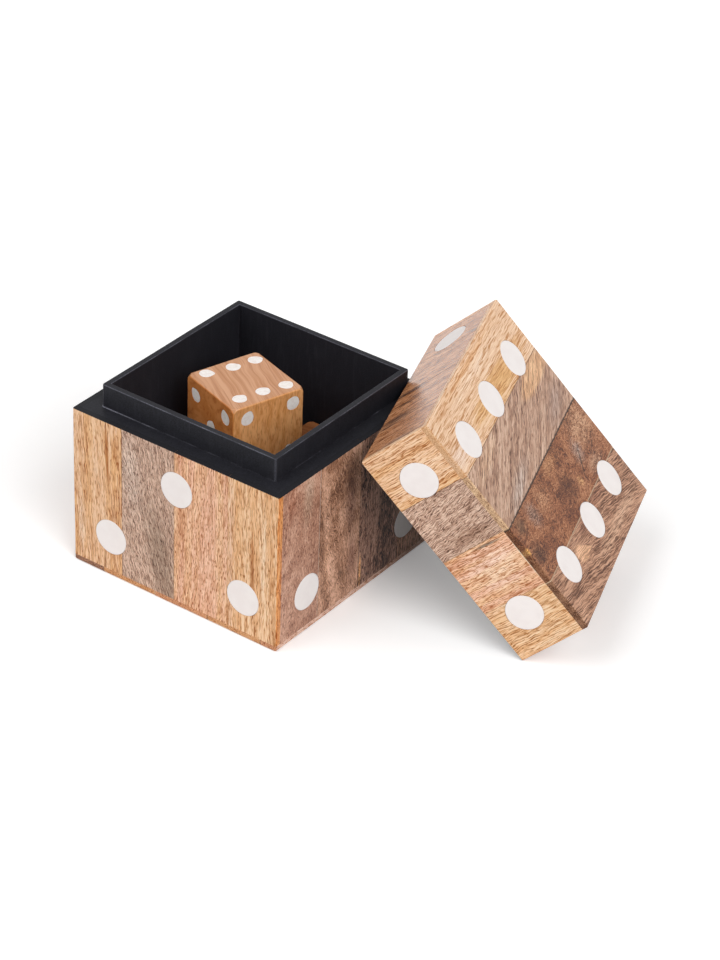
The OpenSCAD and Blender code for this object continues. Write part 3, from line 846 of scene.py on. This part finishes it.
# Where a die's skin has points, from its edges: close together where they turn
DIE_TICKS = (0, 0.12, 0.3, 0.5, 0.75, 1.0, 1.5, 2.2)
# The end faces' tint, paler partly for the end grain's own tone and partly as painted light, and
#  the tint of the faces across Y, darker as painted shade
END_GRAIN_AND_PAINTED_LIGHT, PAINTED_SHADE_ON_SIDES = (1.34, 1.3, 1.0, 1), (1.08, 0.82, 0.49, 1)
# Each die's pores, dark wood, wood and light wood
DIE_TONES = [("#5c331a", "#7c4a28", "#92592f", "#a56a3c"), ("#6a3c1e", "#8c5730", "#a5693c", "#b87c4c"),
             ("#5c331a", "#7a4626", "#8c532e", "#a0653a"), ("#5c331a", "#7e482a", "#985c35", "#ab6d42"),
             ("#8a5028", "#a8683e", "#c2875a", "#d8a27a")]


def pip_spots(number):
    """The places of a number's dots on a die's face, as (across, up)."""
    off = PIP_PITCH
    rows = {1: [(0, 0)], 2: [(-off, off), (off, -off)]}
    rows[3] = rows[1] + rows[2]
    rows[4] = rows[2] + [(off, off), (-off, -off)]
    rows[5] = rows[1] + rows[4]
    rows[6] = rows[4] + [(off, 0), (-off, 0)]
    return rows[number]


def pip_place(number, across, up):
    """Brings a disc that lies in the XY plane and faces +Z to a dot's place on a die's face."""
    facing = {6: turn("X", -90), 1: turn("X", 90), 5: turn("Z", 0), 4: turn("Z", 90), 2: turn("Z", 180),
              3: turn("Z", 270)}
    return facing[number] @ move(across, -DIE_W / 2, up) @ turn("X", 90)


def pip_radii(seed, grow, count=40):
    """A die's dot as it is drilled and painted by hand: out of round, and drawn out to a point on one
    side, by a narrow bell curve of the angle."""
    tail = np.random.default_rng(seed).uniform(0.2, 0.8) * math.pi
    angle = np.linspace(0, 2 * math.pi, count, endpoint=False)
    away = np.angle(np.exp(1j * (angle - tail)))
    return uneven_radii(seed, PIP_R - 0.2, 0.2, count) + grow + 0.6 * np.exp(-(away / 0.4) ** 2)


def pip_shapes(die, grow, low, edge, top):
    """All the dots of a die, or the recesses that they lie in, from low to top over its faces."""
    parts = []
    for number in range(1, 7):
        for index, (across, up) in enumerate(pip_spots(number)):
            if die == UPPER and number in PIP_WANDER:
                across, up = across + PIP_WANDER[number][index][0], up + PIP_WANDER[number][index][1]
            radii = pip_radii(die * 100 + number * 10 + index, grow)
            profile = [(0, low), (1, low), (1, edge), (0.93, top), (0.5, top), (0, top)]
            points, faces = disc_skin(radii, profile)
            parts.append((through(pip_place(number, across, up), points), faces))
    return mesh_from(*joined(parts))


def die_mesh(die):
    """A die: a cube with round edges whose corners a ball has trimmed, tumbled, so its edges wander."""
    half = DIE_W / 2
    ticks = places(-half, half, 3.0, DIE_TICKS)
    points, faces = block_skin(ticks, ticks, ticks)
    radius = DIE_EDGE * (1 + 0.2 * waves(points, die, 26.0))
    points = eased(points, (-half,) * 3, (half,) * 3, radius)
    reach = np.linalg.norm(points, axis=1, keepdims=True)
    points = points * np.minimum(1, DIE_BALL / 2 / reach)
    # Tumbling took off up to 0.16 percent
    points *= 1 - 0.0008 * (1 + waves(points, die + 7, 20.0))[:, None]
    return cut(mesh_from(points, faces), pip_shapes(die, **HOLE))


def varnished_die_wood(die):
    """Small hardwood cubes, tumbled smooth and dipped in varnish. The grain lies along X: fine light and
    dark lines run along the faces beside it, and on the end grain they stand nearly upright, with long
    dark streaks between them. The end faces are painted paler, partly for the end grain's own tone and
    partly as painted light, and the faces across Y are painted darker as painted shade; these tints end
    at the rounded edges."""
    material, add = new_material(f"die_wood_{die}")
    place = add("Attribute", attribute_name="wood_mm").node.outputs["Vector"]
    parts = add("SeparateXYZ", place).node.outputs
    drift = add("TexNoise", place, 0.05, 1.0)
    level = add("Math", drift, 6.0, parts["Z"], **TIMES_PLUS)
    slanted = add("Math", parts["X"], 0.24, parts["Y"], **TIMES_PLUS)
    fibre = add("Math", drift, 5.0, slanted, **TIMES_PLUS)
    # The growth rings stand nearly upright, so the lines on the end grain run up it
    ring = add("Math", level, 0.22, **TIMES)
    bands = add("TexNoise", along_fibres(add, fibre, ring, parts["X"], 3.2, 60.0, die * 11.0), 1.0, 2.0)
    fine = add("TexNoise", along_fibres(add, fibre, ring, parts["X"], 0.9, 30.0, die * 7.0), 1.0, 2.0, 0.6)
    upright = add("CombineXYZ", add("Math", parts["X"], 0.08, **TIMES), add("Math", fibre, 1.7, **TIMES),
                  add("Math", level, 0.2, die * 5.0, **TIMES_PLUS))
    flecks = add("TexNoise", upright, 1.0, 1.0)
    pore, dark, usual, pale = DIE_TONES[die - 1]
    wood = add("Mix", add("MapRange", bands, 0.34, 0.66, 0.0, 0.8), usual, pale)
    wood = add("Mix", add("MapRange", fine, 0.5, 0.3, 0.0, 0.6), wood, dark)
    wood = add("Mix", add("MapRange", fine, 0.56, 0.68, 0.0, 0.6), wood, pale)
    # Whether a point lies on the two end faces, or on the two across Y
    on_face = {}
    for axis in "XY":
        distance = add("Math", parts[axis], operation="ABSOLUTE")
        on_face[axis] = add("MapRange", distance, DIE_W / 2 - 0.5, DIE_W / 2 - 0.2)
    speck = add("MapRange", flecks, 0.55, 0.7, 0.0, 0.32)
    wood = add("Mix", add("Math", speck, on_face["X"], **TIMES), wood, pore)
    # Painted light on the end faces, partly their own paler tone, and painted shade on the faces across Y
    wood = add("Mix", on_face["X"], wood, END_GRAIN_AND_PAINTED_LIGHT, **TINT)
    wood = add("Mix", on_face["Y"], wood, PAINTED_SHADE_ON_SIDES, **TINT)
    bump = add("Bump", named={"Strength": 0.3, "Distance": 0.00003, "Height": fine})
    shader = add("BsdfPrincipled", named={"Base Color": wood, "Roughness": 0.25, "IOR": 1.5, "Normal": bump})
    add("OutputMaterial", shader)
    return material


# White paint dropped into the drilled dots of the dice: thicker in the middle, a little uneven
paint = clouded_white("die_paint", 700.0, (2.0,), ("#f0e6df", "#faf4f0"),
                      {"Strength": 0.5, "Distance": 0.0001}, {"Roughness": 0.4, "IOR": 1.45})
for die in range(1, UPPER + 1):
    if die == UPPER:
        x, y, spin = TOP_DIE_SPOT
        place = move(x, y, FLOOR_Z + 2 * REST_GAP + 1.5 * DIE_W) @ turn("Z", spin)
        name, body = "upper_die", "top_die"
    else:
        x, y, spin = DIE_SPOTS[die - 1]
        about_x, about_y = DIE_ROLLS[die - 1]
        place = move(x, y, FLOOR_Z + REST_GAP + DIE_W / 2) @ turn("Z", spin)
        place = place @ turn("Y", about_y) @ turn("X", about_x)
        name, body = f"lower_die_{die}", f"die_{die}"
    finish_piece(name, die_mesh(die), place, body, varnished_die_wood(die), [body])
    finish_piece(f"{name}_dots", pip_shapes(die, **PAINT_DROP), place, body, paint,
                 [f"{body}_dots"])


# Floor, light and camera

# The paper's tone in the light, its tone for the camera, and how much it glows for the camera alone
FLOOR_TONE, SEEN_TONE, GLOW = "#d4d4d4", "#fbfbfb", 0.2
# The paper reaches 4 m each way, and lies 0.1 mm below the object, so that no faces share a place
FLOOR_REACH, FLOOR_HEIGHT = 4, -0.0001
# The strength of the white room's light on things; the camera sees it white
WORLD_LIGHT = 0.335
# The softboxes: strength, angle and the direction that they stand in
SOFTBOXES = {"key": (1.8, 40, (0.72, -0.3, 0.63)), "fill": (1.2, 50, (-0.36, -0.56, 0.74))}
# The camera's place in metres and its turns in degrees, found from the box's edges in the photograph
LENS_MM, SENSOR_MM = 124.42, 36.0
CAMERA_PLACE, CAMERA_TURNS = (0.79615, -1.03709, 0.88537), (57.1072, -1.8966, 36.5717)


def seen_share(add):
    """1 for what the camera sees, straight, mirrored or through glass, and 0 for the light on things."""
    rays = add("LightPath").node.outputs
    mirrored = add("Math", rays["Is Glossy Ray"], rays["Is Transmission Ray"], **PLUS)
    return add("Math", rays["Is Camera Ray"], mirrored, use_clamp=True, **PLUS)


def pale_paper():
    """A roll of matt white paper, drawn well past the object. It shows white to the camera and keeps
    the object's soft shadow."""
    material, add = new_material("pale_paper")
    seen = seen_share(add)
    paper = add("Mix", seen, FLOOR_TONE, SEEN_TONE)
    glow = add("Math", seen, GLOW, **TIMES)
    add("OutputMaterial", add("BsdfPrincipled", named={"Base Color": paper, "Roughness": 0.9,
        "Specular IOR Level": 0.0, "Emission Color": "#ffffff", "Emission Strength": glow}))
    return material


reach = np.linspace(-FLOOR_REACH, FLOOR_REACH, 9)
x, y = np.meshgrid(reach, reach, indexing="ij")
number = np.arange(x.size).reshape(x.shape)
corners = np.stack([x, y, np.full_like(x, FLOOR_HEIGHT)], -1).reshape(-1, 3)
tiles = np.stack([number[:-1, :-1], number[1:, :-1], number[1:, 1:], number[:-1, 1:]], -1).reshape(-1, 4)
floor_mesh = mesh_from(corners, tiles)
floor_mesh.materials.append(pale_paper())
floor = bpy.data.objects.new("paper_floor", floor_mesh)
bpy.context.scene.collection.objects.link(floor)

world = bpy.data.worlds.new("studio")
bpy.context.scene.world = world
world.use_nodes = True
world.node_tree.nodes.clear()
add = partial(add_node, world.node_tree)
strength = add("Math", seen_share(add), 1 - WORLD_LIGHT, WORLD_LIGHT, **TIMES_PLUS)
add("OutputWorld", add("Background", "#ffffff", strength))

for name, (energy, angle, direction) in SOFTBOXES.items():
    lamp = bpy.data.lights.new(name, "SUN")
    lamp.energy, lamp.angle = energy, math.radians(angle)
    softbox = bpy.data.objects.new(name, lamp)
    softbox.rotation_euler = Vector(direction).to_track_quat("Z", "Y").to_euler()
    bpy.context.scene.collection.objects.link(softbox)

lens = bpy.data.cameras.new("camera")
lens.lens, lens.sensor_width, lens.sensor_fit = LENS_MM, SENSOR_MM, "AUTO"
lens.clip_start, lens.clip_end = 0.05, 50
camera = bpy.data.objects.new("camera", lens)
camera.matrix_world = Matrix.LocRotScale(CAMERA_PLACE, Euler(np.radians(CAMERA_TURNS)), None)
bpy.context.scene.collection.objects.link(camera)
bpy.context.scene.camera = camera
bpy.context.scene.view_settings.view_transform = "Standard"
